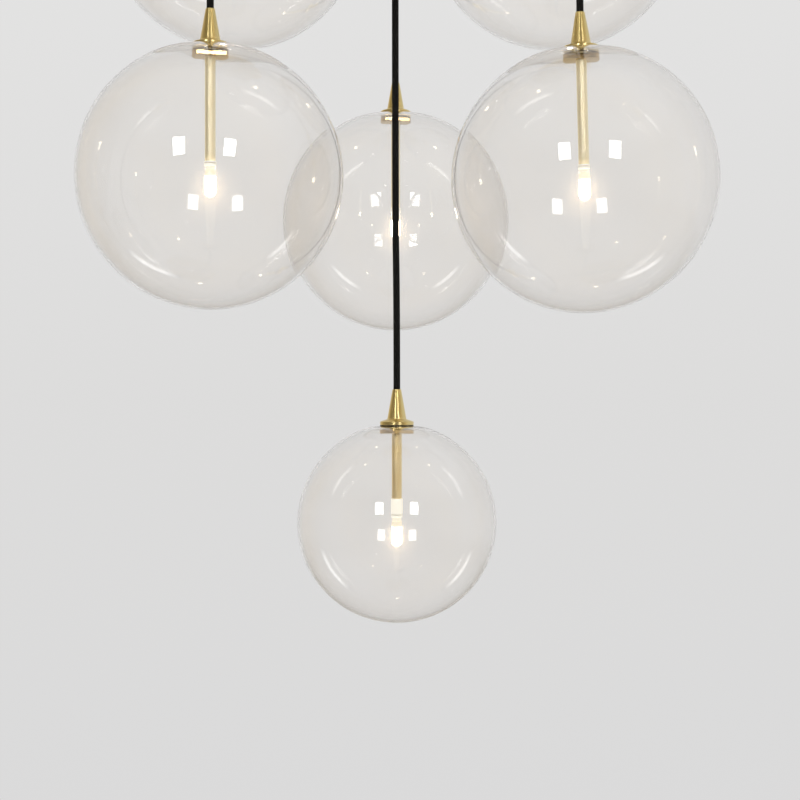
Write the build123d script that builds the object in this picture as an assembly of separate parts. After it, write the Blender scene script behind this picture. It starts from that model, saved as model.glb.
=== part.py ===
from build123d import *
import os
from math import atan, cos, degrees, pi, radians, sin, tan
from typing import NamedTuple

# Cluster pendant: clear glass globes on textile cords under one round ceiling canopy.
# Millimetres, +Z up. The origin is the middle of the face that lies against the ceiling.


class Globe(NamedTuple):
    diameter: float       # of the blown globe, outside
    pole_drop: float      # how far the flat on top lies below a true sphere's pole
    stem_drop: float      # from the cap's foot down to the end of the stem
    holder_shown: float   # length of lampholder below the stem


class Pendant(NamedTuple):
    ring: float           # distance from the cluster's axis
    bearing: float        # degrees from +X, seen from above
    globe: str            # a key of GLOBES
    foot: float           # from the ceiling down to the underside of the cap's foot
    sideways: float       # how far the cord ends to +X of its outlet
    lean: float           # degrees that the glass leans towards +X
    block_turn: float     # degrees that the clamp block is turned about the stem


GLOBES = {
    "small": Globe(200.0, 3.0, 74.0, 18.5),
    "medium": Globe(250.0, 4.6, 107.3, 4.0),
    "large": Globe(280.0, 4.6, 122.0, 4.0),
}
RING_RADIUS = 200.0
PENDANTS = {
    "lowest": Pendant(0.0, 0.0, "small", 1125.2, 1.8, 0.0, 46.0),
    "left": Pendant(RING_RADIUS, 210.0, "medium", 768.7, 0.0, 0.0, 14.0),
    "right": Pendant(RING_RADIUS, 330.0, "medium", 772.0, 0.0, 1.5, -5.0),
    "rear": Pendant(RING_RADIUS, 90.0, "medium", 774.1, 0.0, 0.0, 12.0),
    "upper_left": Pendant(RING_RADIUS, 150.0, "large", 444.5, 0.0, 0.0, 20.0),
    "upper_right": Pendant(RING_RADIUS, 30.0, "large", 444.5, 0.0, 0.0, -25.0),
    "upper_front": Pendant(RING_RADIUS, 270.0, "large", 444.5, 0.0, 0.0, 5.0),
}

# Glass
GLASS_WALL = 2.4
FLAT_RADIUS = 17.0
NECK_RADIUS = 13.3        # hole through the flat
SEAL_THICKNESS = 1.0      # room for the seal between the cap's foot and the glass

# Cap
CAP_HEIGHT = 36.0
CAP_TOP_RADIUS = 4.35
CONE_BASE_RADIUS = 9.65
CONE_BASE_HEIGHT = 6.0
FOOT_RADIUS = 17.0
FOOT_RIM_HEIGHT = 3.2
FOOT_EDGE_HEIGHT = 3.9
FOOT_EDGE_RADIUS = 16.2
CONE_FILLET = 1.6
CORD_SEAT_DEPTH = 2.0
CORD_SEAT_RADIUS = 3.6
WIRE_BORE_RADIUS = 2.2
CHAMBER_RADIUS = 6.0
CHAMBER_FLOOR = 14.0
CHAMBER_TOP = 23.0

# Stem, clamp block, lampholder and lamp
STEM_RADIUS = 5.0
STEM_BORE_RADIUS = 4.25
STEM_IN_CAP = 13.5
BLOCK_RADIUS = 17.25
BLOCK_WIDTH = 20.4
BLOCK_THICKNESS = 5.3
BLOCK_EDGE = 0.5
HOLDER_RADIUS = 5.8
HOLDER_EDGE = 0.5
SHANK_RADIUS = 4.2
SHANK_LENGTH = 12.0
PIN_SPACING = 4.0
PIN_RADIUS = 0.35
PIN_LENGTH = 7.0
SOCKET_RADIUS = 0.40
SOCKET_DEPTH = 9.0
LAMP_GAP = 0.3
LAMP_BASE_RADIUS = 4.5
LAMP_BASE_LENGTH = 3.5
LAMP_RADIUS = 5.3
LAMP_LENGTH = 29.0
LAMP_SHOULDER = 0.8

# Cord
CORD_DIAMETER = 6.8
LEAN_PIVOT = 30.0         # the cord bends this far above the cap
BEND_TOP = 899.0          # below the ceiling: where the lowest cord starts to step sideways
BEND_BOTTOM = 999.0

# Canopy and its bracket
CANOPY_RADIUS = 240.0
CANOPY_HEIGHT = 46.0
CANOPY_WALL = 1.2
CANOPY_CORNER = 8.0
BRACKET_THICKNESS = 3.0
BRACKET_RADIUS = 118.0
ARM_BEARINGS = (0.0, 120.0, 240.0)
ARM_WIDTH = 30.0
ARM_REACH = 235.5
LUG_WIDTH = 24.0
LUG_DROP = 30.0
ARM_CORNER = 4.0
SCREW_HOLE_RADIUS = 2.75
SCREW_CIRCLE_RADIUS = 150.0
CUTTER_LENGTH = 20.0      # longer than any wall that a round cutter passes
CABLE_HOLE_RADIUS = 10.0
CABLE_HOLE_AT = (-50.0, 10.0)

# Screws that hold the cover to the lugs
COVER_SCREW_RADIUS = 2.0
COVER_SCREW_HEAD_RADIUS = 4.5
COVER_SCREW_HEAD = 3.0
COVER_SCREW_EDGE = 0.5
COVER_SCREW_DROP = 20.0
COVER_SCREW_POINT = 1.0   # the screw ends this far past its lug
COVER_HOLE_RADIUS = 2.3

# Cord grips
GRIP_LENGTH = 18.0
GRIP_FLANGE_RADIUS = 9.0
GRIP_FLANGE = 2.0
GRIP_TOP_RADIUS = 6.8
GRIP_BOTTOM_RADIUS = 5.8
GRIP_MOUTH_RADIUS = 4.6
GRIP_MOUTH_DEPTH = 4.0
GRIP_STUD_RADIUS = 5.0
GRIP_STUD_TOP = 35.0      # below the ceiling
GRIP_HOLE_RADIUS = 5.2
CORD_TOP_IN_MOUTH = 2.9   # the hanging cord starts this far up the mouth
NUT_ACROSS_FLATS = 14.0
NUT_THICKNESS = 4.0

# Power supply and terminals, hung under the bracket
SUPPLY_SIZE = (150.0, 42.0, 28.0)
SUPPLY_Y = 56.0
SUPPLY_TAB = 13.0
SUPPLY_TAB_THICKNESS = 2.5
SUPPLY_EDGE = 3.0
SUPPLY_SCREW_X = 81.5
SUPPLY_SCREW_HEAD_RADIUS = 3.8
SUPPLY_SCREW_HEAD = 2.6
MAINS_BLOCK_SIZE = (36.0, 18.0, 14.0)
MAINS_BLOCK_AT = (-80.0, -15.0)
LAMP_BLOCK_SIZE = (100.0, 18.0, 24.0)
LAMP_BLOCK_AT = (0.0, -50.0)
BLOCK_WAYS = {"mains": 3, "lamp": 7}
BLOCK_GROOVE = (1.2, 3.0)
BLOCK_SCREW_RADIUS = 1.8
BLOCK_SCREW_DEPTH = 2.5

# Wires inside the canopy. The turns are the points of a wire between its two ends.
LEAD_DIAMETER = 4.0
LEAD_BEND = 12.0
LEAD_HEIGHT = -20.0
LEAD_TURNS = {
    "lowest": [],
    "left": [(-25.0, -85.0, LEAD_HEIGHT)],
    "right": [(25.0, -85.0, LEAD_HEIGHT)],
    "rear": [(10.0, 140.0, -24.0), (20.0, 95.0, -38.0), (22.0, 25.0, -38.0), (20.0, -8.0, LEAD_HEIGHT)],
    "upper_left": [(-42.0, -12.0, LEAD_HEIGHT)],
    "upper_right": [(42.0, -12.0, LEAD_HEIGHT)],
    "upper_front": [],
}
SUPPLY_LEAD_DIAMETER = 5.0
SUPPLY_LEAD_TURNS = {
    "mains": [(-80.0, 8.0, -10.0), (-70.0, 20.0, -14.0)],
    "low_voltage": [(66.0, 19.0, -14.0), (84.0, -8.0, -12.0), (84.0, -50.0, -12.0)],
}
ARC_SHARE = 0.45          # of the shorter run beside a corner that the corner's arc may take

CANOPY_FLOOR = CANOPY_HEIGHT - CANOPY_WALL
GRIP_EXIT = CANOPY_HEIGHT + GRIP_LENGTH
CORD_TOP = GRIP_EXIT - CORD_TOP_IN_MOUTH
BLOCK_TOP = SEAL_THICKNESS + GLASS_WALL
TOLERANCE = 0.01

os.makedirs("parts", exist_ok=True)


def save(name, shape):
    shape.label = name
    export_step(shape, f"parts/{name}.step")


def group(solids):
    return Compound(children=list(solids))


def turned(*lines):
    """A solid of revolution about Z from lines drawn as (radius, height)."""
    edges = [(Plane.XZ * line).edge() for line in lines]
    return revolve(Face(Wire(edges)), Axis.Z)


def turned_polyline(*points):
    return revolve(make_face(Plane.XZ * Polyline(*points, close=True)), Axis.Z)


def on_circle(radius, angle, centre=(0.0, 0.0)):
    """The point of a circle at an angle in degrees, as (radius, height)."""
    return (centre[0] + radius * cos(radians(angle)), centre[1] + radius * sin(radians(angle)))


def column(radius, low, high):
    """A round bar about Z from one height to another."""
    return Pos(0, 0, low) * Cylinder(radius, high - low, align=(Align.CENTER, Align.CENTER, Align.MIN))


def tube_along(points, diameter, radii):
    """A round tube along straight runs that are joined by tangent arcs."""
    if radii:
        path = FilletPolyline(*points, radius=radii)
    else:
        path = Polyline(*points)
    start = Plane(origin=path @ 0, z_dir=path % 0)
    tube = sweep(start * Circle(diameter / 2), path=path)
    expected = pi * diameter ** 2 / 4 * path.length
    print(f"tube {path.length:.1f} mm, volume ratio {tube.volume / expected:.4f}, radii {radii}")
    return tube


def arc_radii(points):
    """The largest arcs that the runs of a route allow, one for each corner."""
    spots = [Vector(*point) for point in points]
    radii = []
    for before, corner, after in zip(spots, spots[1:], spots[2:]):
        turn = (corner - before).get_angle(after - corner)
        shorter = min((corner - before).length, (after - corner).length)
        radii.append(round(ARC_SHARE * shorter / tan(radians(turn / 2)), 1))
    return radii


# Pieces of one pendant. Each is drawn about its own axis with the cap's foot at height 0.


def cone_cap():
    """The turned cap: cone, flared foot, cord seat, wire chamber and the stem's thread."""
    outline = turned_polyline(
        (0, 0),
        (FOOT_RADIUS, 0),
        (FOOT_RADIUS, FOOT_RIM_HEIGHT),
        (FOOT_EDGE_RADIUS, FOOT_EDGE_HEIGHT),
        (CONE_BASE_RADIUS, CONE_BASE_HEIGHT),
        (CAP_TOP_RADIUS, CAP_HEIGHT),
        (0, CAP_HEIGHT),
    )
    flare = [edge for edge in outline.edges() if abs(edge.center().Z - CONE_BASE_HEIGHT) < TOLERANCE]
    outline = fillet(flare, CONE_FILLET)
    outline -= column(CORD_SEAT_RADIUS, CAP_HEIGHT - CORD_SEAT_DEPTH, CAP_HEIGHT)
    outline -= column(WIRE_BORE_RADIUS, CHAMBER_FLOOR, CAP_HEIGHT)
    outline -= column(CHAMBER_RADIUS, CHAMBER_FLOOR, CHAMBER_TOP)
    outline -= column(STEM_RADIUS, 0, CHAMBER_FLOOR)
    return outline


def glass_globe(globe):
    """The blown shell: a sphere whose top is drawn in to a level flat with a round-edged hole."""
    radius = globe.diameter / 2
    blend = degrees(2 * atan(globe.pole_drop / FLAT_RADIUS))
    shoulder = radius - FLAT_RADIUS / sin(radians(blend))
    crown = radius - globe.pole_drop
    shoulder_centre = (FLAT_RADIUS, crown - shoulder)
    inner = radius - GLASS_WALL
    inner_shoulder = shoulder - GLASS_WALL
    rim = NECK_RADIUS + GLASS_WALL / 2

    def shoulder_arc(size):
        ends = [on_circle(size, angle, shoulder_centre) for angle in (90, 90 - blend / 2, 90 - blend)]
        return ThreePointArc(*ends)

    def sphere_arc(size):
        return ThreePointArc(*[on_circle(size, angle) for angle in (90 - blend, -blend / 2, -90)])

    shell = turned(
        Line((rim, crown), (FLAT_RADIUS, crown)),
        shoulder_arc(shoulder),
        sphere_arc(radius),
        Line((0, -radius), (0, -inner)),
        sphere_arc(inner),
        shoulder_arc(inner_shoulder),
        Line((FLAT_RADIUS, crown - GLASS_WALL), (rim, crown - GLASS_WALL)),
        ThreePointArc((rim, crown - GLASS_WALL), (NECK_RADIUS, crown - GLASS_WALL / 2), (rim, crown)),
    )
    return Pos(0, 0, -SEAL_THICKNESS - crown) * shell


def clamp_block(turn):
    """The oblong block that is passed through the neck edgeways and carries the glass."""
    block = column(BLOCK_RADIUS, 0, BLOCK_THICKNESS)
    block &= Pos(0, 0, BLOCK_THICKNESS / 2) * Box(3 * BLOCK_RADIUS, BLOCK_WIDTH, BLOCK_THICKNESS)
    level = block.faces().filter_by(Axis.Z)
    block = chamfer(level.edges(), BLOCK_EDGE)
    block -= column(STEM_RADIUS, 0, BLOCK_THICKNESS)
    return Pos(0, 0, -BLOCK_TOP - BLOCK_THICKNESS) * Rot(0, 0, turn) * block


def stem(drop):
    return column(STEM_RADIUS, -drop, STEM_IN_CAP) - column(STEM_BORE_RADIUS, -drop, STEM_IN_CAP)


def lampholder(globe):
    """The ceramic holder: a round body on a shank in the stem, with a socket for each pin."""
    face = -globe.stem_drop - globe.holder_shown
    body = turned_polyline(
        (0, face),
        (HOLDER_RADIUS - HOLDER_EDGE, face),
        (HOLDER_RADIUS, face + HOLDER_EDGE),
        (HOLDER_RADIUS, -globe.stem_drop),
        (SHANK_RADIUS, -globe.stem_drop),
        (SHANK_RADIUS, -globe.stem_drop + SHANK_LENGTH),
        (0, -globe.stem_drop + SHANK_LENGTH),
    )
    for side in (-0.5, 0.5):
        body -= Pos(side * PIN_SPACING, 0, 0) * column(SOCKET_RADIUS, face, face + SOCKET_DEPTH)
    return body


def lamp(globe):
    """The capsule lamp: a domed envelope on a narrower base with two pins."""
    top = -globe.stem_drop - globe.holder_shown - LAMP_GAP
    neck = top - LAMP_BASE_LENGTH
    dome = top - LAMP_LENGTH + LAMP_RADIUS
    envelope = turned(
        Line((0, top), (LAMP_BASE_RADIUS, top)),
        Line((LAMP_BASE_RADIUS, top), (LAMP_BASE_RADIUS, neck)),
        Line((LAMP_BASE_RADIUS, neck), (LAMP_RADIUS, neck - LAMP_SHOULDER)),
        Line((LAMP_RADIUS, neck - LAMP_SHOULDER), (LAMP_RADIUS, dome)),
        ThreePointArc(*[on_circle(LAMP_RADIUS, angle, (0, dome)) for angle in (0, -45, -90)]),
        Line((0, dome - LAMP_RADIUS), (0, top)),
    )
    for side in (-0.5, 0.5):
        envelope += Pos(side * PIN_SPACING, 0, 0) * column(PIN_RADIUS, top - LAMP_GAP, top + PIN_LENGTH)
    return envelope


def outlet(pendant):
    """Where a pendant's cord leaves the canopy, as (x, y)."""
    return on_circle(pendant.ring, pendant.bearing)


def cord_route(pendant):
    """The points of a hanging cord, from inside its grip down to its seat in the cap."""
    x, y = outlet(pendant)
    end = -pendant.foot + CAP_HEIGHT - CORD_SEAT_DEPTH
    if pendant.sideways:
        below = x + pendant.sideways
        return [(x, y, -CORD_TOP), (x, y, -BEND_TOP), (below, y, -BEND_BOTTOM), (below, y, end)]
    if pendant.lean:
        bend = -pendant.foot + CAP_HEIGHT + LEAN_PIVOT
        reach = LEAN_PIVOT + CORD_SEAT_DEPTH
        across = reach * sin(radians(pendant.lean))
        down = reach * cos(radians(pendant.lean))
        return [(x, y, -CORD_TOP), (x, y, bend), (x + across, y, bend - down)]
    return [(x, y, -CORD_TOP), (x, y, end)]


def make_pendant(name, pendant):
    globe = GLOBES[pendant.globe]
    x, y = outlet(pendant)
    pivot = CAP_HEIGHT + LEAN_PIVOT
    lean = Rot(0, -pendant.lean, 0) * Pos(0, 0, -pivot)
    place = Pos(x + pendant.sideways, y, pivot - pendant.foot) * lean
    route = cord_route(pendant)
    save(f"cord_{name}", tube_along(route, CORD_DIAMETER, arc_radii(route)))
    save(f"cone_cap_{name}", place * cone_cap())
    save(f"glass_globe_{name}", place * glass_globe(globe))
    save(f"clamp_block_{name}", place * clamp_block(pendant.block_turn))
    save(f"stem_{name}", place * stem(globe.stem_drop))
    save(f"lampholder_{name}", place * lampholder(globe))
    save(f"lamp_{name}", place * lamp(globe))


# The canopy and what it holds, drawn in place under the ceiling.


def at_outlets():
    return [Pos(*outlet(pendant), 0) for pendant in PENDANTS.values()]


def canopy_cover():
    """The spun cover: a shallow round pan with a hole for each grip and each side screw."""
    inner = CANOPY_RADIUS - CANOPY_WALL
    corner = (CANOPY_RADIUS - CANOPY_CORNER, -CANOPY_HEIGHT + CANOPY_CORNER)
    bend = CANOPY_CORNER - CANOPY_WALL
    pan = turned(
        Line((CANOPY_RADIUS, 0), (CANOPY_RADIUS, corner[1])),
        ThreePointArc(*[on_circle(CANOPY_CORNER, angle, corner) for angle in (0, -45, -90)]),
        Line((corner[0], -CANOPY_HEIGHT), (0, -CANOPY_HEIGHT)),
        Line((0, -CANOPY_HEIGHT), (0, -CANOPY_FLOOR)),
        Line((0, -CANOPY_FLOOR), (corner[0], -CANOPY_FLOOR)),
        ThreePointArc(*[on_circle(bend, angle, corner) for angle in (-90, -45, 0)]),
        Line((inner, corner[1]), (inner, 0)),
        Line((inner, 0), (CANOPY_RADIUS, 0)),
    )
    for spot in at_outlets():
        pan -= spot * column(GRIP_HOLE_RADIUS, -CANOPY_HEIGHT, -CANOPY_FLOOR)
    for bearing in ARM_BEARINGS:
        hole = Pos(CANOPY_RADIUS, 0, -COVER_SCREW_DROP) * Rot(0, 90, 0)
        pan -= Rot(0, 0, bearing) * hole * Cylinder(COVER_HOLE_RADIUS, CUTTER_LENGTH)
    return pan


def ceiling_bracket():
    """The plate that is screwed to the ceiling: a disc with three arms that end in tapped lugs."""
    level = Align.CENTER, Align.CENTER, Align.MAX
    plate = Cylinder(BRACKET_RADIUS, BRACKET_THICKNESS, align=level)
    lug_at = ARM_REACH - BRACKET_THICKNESS / 2
    for bearing in ARM_BEARINGS:
        turn = Rot(0, 0, bearing)
        arm = Pos(ARM_REACH / 2, 0, 0) * Box(ARM_REACH, ARM_WIDTH, BRACKET_THICKNESS, align=level)
        corners = arm.edges().filter_by(Axis.Z).group_by(Axis.X)[-1]
        plate += turn * fillet(corners, ARM_CORNER)
        plate += turn * Pos(lug_at, 0, 0) * Box(BRACKET_THICKNESS, LUG_WIDTH, LUG_DROP, align=level)
    for bearing in ARM_BEARINGS:
        turn = Rot(0, 0, bearing)
        plate -= turn * Pos(SCREW_CIRCLE_RADIUS, 0, 0) * Cylinder(SCREW_HOLE_RADIUS, CUTTER_LENGTH)
        tapped = Pos(lug_at, 0, -COVER_SCREW_DROP) * Rot(0, 90, 0)
        plate -= turn * tapped * Cylinder(COVER_SCREW_RADIUS, CUTTER_LENGTH)
    for side in (-1, 1):
        spot = Pos(side * SUPPLY_SCREW_X, SUPPLY_Y, 0)
        plate -= spot * Cylinder(COVER_SCREW_RADIUS, CUTTER_LENGTH)
    plate -= Pos(*CABLE_HOLE_AT, 0) * Cylinder(CABLE_HOLE_RADIUS, CUTTER_LENGTH)
    return plate


def cover_screw(bearing):
    """A thumb screw through the cover's side into a lug."""
    inner_end = ARM_REACH - BRACKET_THICKNESS - COVER_SCREW_POINT
    shank = column(COVER_SCREW_RADIUS, inner_end, CANOPY_RADIUS)
    head = column(COVER_SCREW_HEAD_RADIUS, CANOPY_RADIUS, CANOPY_RADIUS + COVER_SCREW_HEAD)
    rim = head.edges().group_by(Axis.Z)[-1]
    head = chamfer(rim, COVER_SCREW_EDGE)
    return Rot(0, 0, bearing) * Pos(0, 0, -COVER_SCREW_DROP) * Rot(0, 90, 0) * (shank + head)


def cord_grip():
    """A grip under the canopy: flange, tapered body with a wide mouth, and a threaded stud."""
    exit_height = -GRIP_EXIT
    mouth_top = exit_height + GRIP_MOUTH_DEPTH
    lead = LEAD_DIAMETER / 2
    return turned_polyline(
        (lead, -GRIP_STUD_TOP),
        (GRIP_STUD_RADIUS, -GRIP_STUD_TOP),
        (GRIP_STUD_RADIUS, -CANOPY_HEIGHT),
        (GRIP_FLANGE_RADIUS, -CANOPY_HEIGHT),
        (GRIP_FLANGE_RADIUS, -CANOPY_HEIGHT - GRIP_FLANGE),
        (GRIP_TOP_RADIUS, -CANOPY_HEIGHT - GRIP_FLANGE),
        (GRIP_BOTTOM_RADIUS, exit_height),
        (GRIP_MOUTH_RADIUS, exit_height),
        (GRIP_MOUTH_RADIUS, mouth_top),
        (lead, mouth_top),
    )


def grip_nut():
    corner = NUT_ACROSS_FLATS / 2 / cos(radians(30))
    nut = extrude(RegularPolygon(corner, 6), NUT_THICKNESS)
    return Pos(0, 0, -CANOPY_FLOOR) * (nut - column(GRIP_STUD_RADIUS, 0, NUT_THICKNESS))


def power_supply():
    """The low-voltage supply: a box with a fixing tab at each end, against the bracket."""
    length, width, height = SUPPLY_SIZE
    level = Align.CENTER, Align.CENTER, Align.MAX
    box = Box(length, width, height, align=level)
    box = fillet(box.edges().filter_by(Axis.Z), SUPPLY_EDGE)
    lower = box.faces().sort_by(Axis.Z)[0]
    box = fillet(lower.edges(), SUPPLY_EDGE / 2)
    tabs = Box(length + 2 * SUPPLY_TAB, width / 2, SUPPLY_TAB_THICKNESS, align=level)
    supply = Pos(0, SUPPLY_Y, -BRACKET_THICKNESS) * (box + tabs)
    for side in (-1, 1):
        supply -= Pos(side * SUPPLY_SCREW_X, SUPPLY_Y, 0) * Cylinder(COVER_SCREW_RADIUS, CUTTER_LENGTH)
    return supply


def supply_screw(side):
    tab_bottom = -BRACKET_THICKNESS - SUPPLY_TAB_THICKNESS
    head = column(SUPPLY_SCREW_HEAD_RADIUS, tab_bottom - SUPPLY_SCREW_HEAD, tab_bottom)
    head = fillet(head.edges().group_by(Axis.Z)[0], SUPPLY_SCREW_HEAD / 2)
    return Pos(side * SUPPLY_SCREW_X, SUPPLY_Y, 0) * (head + column(COVER_SCREW_RADIUS, tab_bottom, 0))


def terminal_block(size, spot, ways):
    """A terminal strip under the bracket: one clamp screw well a way, grooves between."""
    length, width, height = size
    level = Align.CENTER, Align.CENTER, Align.MAX
    strip = Box(length, width, height, align=level)
    pitch = length / ways
    groove_width, groove_depth = BLOCK_GROOVE
    for way in range(ways):
        across = (way + 0.5) * pitch - length / 2
        well = column(BLOCK_SCREW_RADIUS, -height, -height + BLOCK_SCREW_DEPTH)
        strip -= Pos(across, 0, 0) * well
        if way:
            groove = Box(groove_width, width, groove_depth, align=(Align.CENTER, Align.CENTER, Align.MIN))
            strip -= Pos(across - pitch / 2, 0, -height) * groove
    return Pos(*spot, -BRACKET_THICKNESS) * strip


def lead_routes():
    """Routes of the seven leads, each from its grip's bore to the near face of the lamp terminals."""
    terminals_y = LAMP_BLOCK_AT[1]
    half_width = LAMP_BLOCK_SIZE[1] / 2
    routes = []
    for name, turns in LEAD_TURNS.items():
        x, y = outlet(PENDANTS[name])
        route = [(x, y, -GRIP_EXIT + GRIP_MOUTH_DEPTH), (x, y, LEAD_HEIGHT), *turns]
        end_x, from_y, height = route[-1]
        side = 1 if from_y > terminals_y else -1
        routes.append([*route, (end_x, terminals_y + side * half_width, height)])
    return routes


def lead(route):
    radii = [min(LEAD_BEND, radius) for radius in arc_radii(route)]
    return tube_along(route, LEAD_DIAMETER, radii)


def supply_leads():
    """The mains wire to the supply and the low-voltage wire from it to the lamp terminals."""
    supply_face = SUPPLY_Y - SUPPLY_SIZE[1] / 2
    mains_face = MAINS_BLOCK_AT[1] + MAINS_BLOCK_SIZE[1] / 2
    lamp_end = LAMP_BLOCK_AT[0] + LAMP_BLOCK_SIZE[0] / 2
    mains = SUPPLY_LEAD_TURNS["mains"]
    low = SUPPLY_LEAD_TURNS["low_voltage"]
    routes = [
        [(mains[0][0], mains_face, mains[0][2]), *mains, (mains[-1][0], supply_face, mains[-1][2])],
        [(low[0][0], supply_face, low[0][2]), *low, (lamp_end, low[-1][1], low[-1][2])],
    ]
    return [tube_along(route, SUPPLY_LEAD_DIAMETER, arc_radii(route)) for route in routes]


for pendant_name, pendant_data in PENDANTS.items():
    make_pendant(pendant_name, pendant_data)

save("canopy_cover", canopy_cover())
save("ceiling_bracket", ceiling_bracket())
save("cover_screws", group(cover_screw(bearing) for bearing in ARM_BEARINGS))
save("cord_grips", group(spot * cord_grip() for spot in at_outlets()))
save("grip_nuts", group(spot * grip_nut() for spot in at_outlets()))
save("power_supply", power_supply())
save("power_supply_screws", group(supply_screw(side) for side in (-1, 1)))
save("mains_terminals", terminal_block(MAINS_BLOCK_SIZE, MAINS_BLOCK_AT, BLOCK_WAYS["mains"]))
save("lamp_terminals", terminal_block(LAMP_BLOCK_SIZE, LAMP_BLOCK_AT, BLOCK_WAYS["lamp"]))
save("lamp_leads", group(lead(route) for route in lead_routes()))
save("supply_leads", group(supply_leads()))
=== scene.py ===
import math

from typing import NamedTuple

import bmesh
import bpy
from mathutils import Matrix, Vector


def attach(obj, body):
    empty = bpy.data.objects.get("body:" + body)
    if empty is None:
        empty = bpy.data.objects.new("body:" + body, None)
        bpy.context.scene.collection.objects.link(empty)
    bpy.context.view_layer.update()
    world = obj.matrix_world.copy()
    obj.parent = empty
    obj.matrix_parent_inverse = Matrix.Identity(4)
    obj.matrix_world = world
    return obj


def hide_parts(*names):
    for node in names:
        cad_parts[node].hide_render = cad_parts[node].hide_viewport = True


# Looks of the cluster pendant. Metres, in the frame of the CAD model: the origin is the middle
# of the canopy against the ceiling, +Z up, and the photograph looks along +Y.

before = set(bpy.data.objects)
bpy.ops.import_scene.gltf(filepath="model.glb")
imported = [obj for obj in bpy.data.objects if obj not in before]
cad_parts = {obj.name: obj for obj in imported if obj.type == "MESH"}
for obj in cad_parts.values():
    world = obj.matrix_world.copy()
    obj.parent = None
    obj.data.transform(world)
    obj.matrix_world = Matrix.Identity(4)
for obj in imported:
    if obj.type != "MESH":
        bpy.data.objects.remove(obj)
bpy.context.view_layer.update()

MM = 0.001
TINY = 1e-7               # stands for zero where a length or a sine is compared or divided by


class Globe(NamedTuple):
    radius: float         # of the blown globe, outside
    pole_drop: float      # how far the flat on top lies below a true sphere's pole
    stem_drop: float      # from the cap's foot down to the end of the stem
    holder_shown: float   # length of lampholder below the stem


class Pendant(NamedTuple):
    globe: Globe
    block_turn: float     # degrees that the clamp block is turned about the stem
    cord_length: float
    route: list           # of the cord, from its grip's mouth down to its seat in the cap


SMALL = Globe(100.0 * MM, 3.0 * MM, 74.0 * MM, 18.5 * MM)
MEDIUM = Globe(125.0 * MM, 4.6 * MM, 107.3 * MM, 4.0 * MM)
LARGE = Globe(140.0 * MM, 4.6 * MM, 122.0 * MM, 4.0 * MM)
PENDANTS = {
    "lowest": Pendant(
        SMALL, 46.0, 1.0301,
        [(0.0, 0.0, -0.0611), (0.0, 0.0, -0.899), (0.0018, 0.0, -0.999), (0.0018, 0.0, -1.0912)],
    ),
    "left": Pendant(MEDIUM, 14.0, 0.6736, [(-0.173205, -0.1, -0.0611), (-0.173205, -0.1, -0.7347)]),
    "right": Pendant(
        MEDIUM, -5.0, 0.6769,
        [(0.173205, -0.1, -0.0611), (0.173205, -0.1, -0.706), (0.174043, -0.1, -0.737989)],
    ),
    "rear": Pendant(MEDIUM, 12.0, 0.679, [(0.0, 0.2, -0.0611), (0.0, 0.2, -0.7401)]),
    "upper_left": Pendant(
        LARGE, 20.0, 0.3494,
        [(-0.173205, 0.1, -0.0611), (-0.173205, 0.1, -0.4105)],
    ),
    "upper_right": Pendant(
        LARGE, -25.0, 0.3494,
        [(0.173205, 0.1, -0.0611), (0.173205, 0.1, -0.4105)],
    ),
    "upper_front": Pendant(LARGE, 5.0, 0.3494, [(0.0, -0.2, -0.0611), (0.0, -0.2, -0.4105)]),
}
CORD_DIAMETER = 6.8 * MM

# Glass
GLASS_WALL = 2.4 * MM
FLAT_RADIUS = 17.0 * MM
NECK_RADIUS = 13.3 * MM
SEAL_THICKNESS = 1.0 * MM
SEAL_INNER_RADIUS = 13.6 * MM
SEAL_OUTER_RADIUS = 16.9 * MM
SEAL_CLEARANCE = 0.05 * MM
GLASS_IOR = 1.48
GLASS_HAZE = 0.035        # share of the light that the film on the glass spreads
GLASS_STEPS = 128         # round the globe
SPHERE_STEPS = 84         # along the outline of its wall: the sphere, the shoulder's bend, the rim
BEND_STEPS = 12
RIM_STEPS = 10

# Cap, stem, block and lampholder
CAP_HEIGHT = 36.0 * MM
CAP_TOP_RADIUS = 4.35 * MM
CONE_BASE_RADIUS = 9.65 * MM
CONE_BASE_HEIGHT = 6.0 * MM
CONE_FILLET = 1.6 * MM
FOOT_RADIUS = 17.0 * MM
FOOT_RIM_HEIGHT = 3.2 * MM
FOOT_EDGE_RADIUS = 16.2 * MM
FOOT_EDGE_HEIGHT = 3.9 * MM
CORD_SEAT_RADIUS = 3.6 * MM
CORD_SEAT_DEPTH = 2.0 * MM
WIRE_BORE_RADIUS = 2.2 * MM
CHAMBER_RADIUS = 6.0 * MM
CHAMBER_FLOOR = 14.0 * MM
CHAMBER_TOP = 23.0 * MM
STEM_RADIUS = 5.0 * MM
STEM_BORE = 4.25 * MM
STEM_IN_CAP = 13.5 * MM
BLOCK_RADIUS = 17.25 * MM
BLOCK_HALF_WIDTH = 10.2 * MM
BLOCK_THICKNESS = 5.3 * MM
BLOCK_EDGE = 0.5 * MM
BLOCK_STEPS = 24          # along each round end, and along each flat side
BLOCK_TOP = SEAL_THICKNESS + GLASS_WALL
HOLDER_RADIUS = 5.8 * MM
SHANK_RADIUS = 4.2 * MM
SHANK_LENGTH = 12.0 * MM
HOLDER_JOINT = 2.6 * MM
JOINT_WIDTH = 0.9 * MM
JOINT_DEPTH = 0.4 * MM
HOLDER_PAINTED_GLOW = (0.62, 0.66)   # painted glow, at its face and at this height above the lamp's top
HOLDER_PAINTED_GLOW_HEIGHT = 16.0 * MM

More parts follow.
